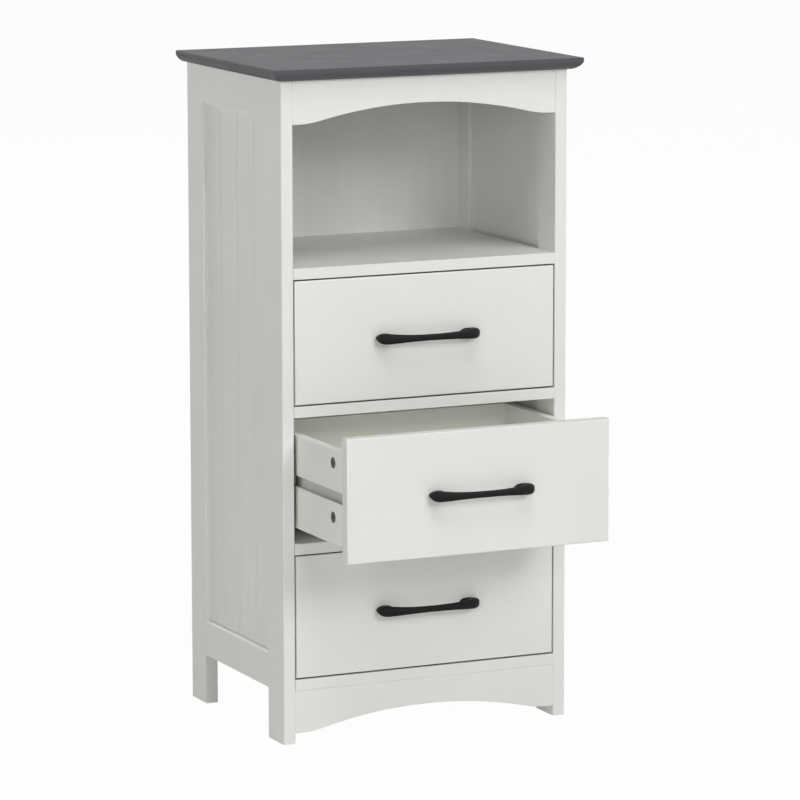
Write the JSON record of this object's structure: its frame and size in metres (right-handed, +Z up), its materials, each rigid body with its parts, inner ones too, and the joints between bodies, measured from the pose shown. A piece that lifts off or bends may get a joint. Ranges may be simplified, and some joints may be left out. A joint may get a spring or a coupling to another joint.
{
  "type": "bathroom cabinet",
  "caption": "Tall free-standing bathroom cabinet with an open shelf compartment over inset drawers, frame-and-panel sides on legs, arched aprons and an overhanging grey top.",
  "frame": {"origin": "on the floor at the centre of the side frames' footprint", "axes": "front faces -Y, right is +X, up is +Z"},
  "size_m": [0.45, 0.513, 0.902],
  "materials": {
    "white_paint": "satin white paint on fibreboard",
    "grey_top": "satin dark grey paint on fibreboard",
    "white_hardboard": "white faced hardboard",
    "black_metal": "satin black powder coat",
    "zinc": "dull die-cast zinc",
    "steel": "zinc plated",
    "beech": "raw beech"
  },
  "bodies": {
    "carcass": {"top_board": "grey_top", "left_front_stile": "white_paint", "left_rear_stile": "white_paint", "left_top_rail": "white_paint", "left_bottom_rail": "white_paint", "left_grooved_board": "white_paint", "right_front_stile": "white_paint", "right_rear_stile": "white_paint", "right_top_rail": "white_paint", "right_bottom_rail": "white_paint", "right_grooved_board": "white_paint", "top_apron": "white_paint", "bottom_apron": "white_paint", "shelf": "white_paint", "upper_divider": "white_paint", "lower_divider": "white_paint", "bottom_board": "white_paint", "back_panel": "white_hardboard", "frame_dowels": "beech", "carcass_dowels": "beech", "carcass_cam_locks": "zinc", "carcass_cam_bolts": "steel", "top_drawer_left_runner": "white_paint", "top_drawer_right_runner": "white_paint", "middle_drawer_left_runner": "white_paint", "middle_drawer_right_runner": "white_paint", "bottom_drawer_left_runner": "white_paint", "bottom_drawer_right_runner": "white_paint", "runner_screws": "steel"},
    "top_drawer": {"top_drawer_front": "white_paint", "top_drawer_left_side": "white_paint", "top_drawer_right_side": "white_paint", "top_drawer_back": "white_paint", "top_drawer_bottom": "white_hardboard", "top_drawer_handle": "black_metal", "top_drawer_handle_screws": "steel", "top_drawer_cam_locks": "zinc", "top_drawer_cam_bolts": "steel", "top_drawer_corner_screws": "steel"},
    "middle_drawer": {"middle_drawer_front": "white_paint", "middle_drawer_left_side": "white_paint", "middle_drawer_right_side": "white_paint", "middle_drawer_back": "white_paint", "middle_drawer_bottom": "white_hardboard", "middle_drawer_handle": "black_metal", "middle_drawer_handle_screws": "steel", "middle_drawer_cam_locks": "zinc", "middle_drawer_cam_bolts": "steel", "middle_drawer_corner_screws": "steel"},
    "bottom_drawer": {"bottom_drawer_front": "white_paint", "bottom_drawer_left_side": "white_paint", "bottom_drawer_right_side": "white_paint", "bottom_drawer_back": "white_paint", "bottom_drawer_bottom": "white_hardboard", "bottom_drawer_handle": "black_metal", "bottom_drawer_handle_screws": "steel", "bottom_drawer_cam_locks": "zinc", "bottom_drawer_cam_bolts": "steel", "bottom_drawer_corner_screws": "steel"}
  },
  "joints": [
    {"name": "top_drawer_slide", "type": "slide", "parent": "carcass", "child": "top_drawer", "axis": [0, -1, 0], "range_m": [0, 0.22]},
    {"name": "middle_drawer_slide", "type": "slide", "parent": "carcass", "child": "middle_drawer", "axis": [0, -1, 0], "range_m": [-0.165, 0.055]},
    {"name": "bottom_drawer_slide", "type": "slide", "parent": "carcass", "child": "bottom_drawer", "axis": [0, -1, 0], "range_m": [0, 0.22]}
  ]
}
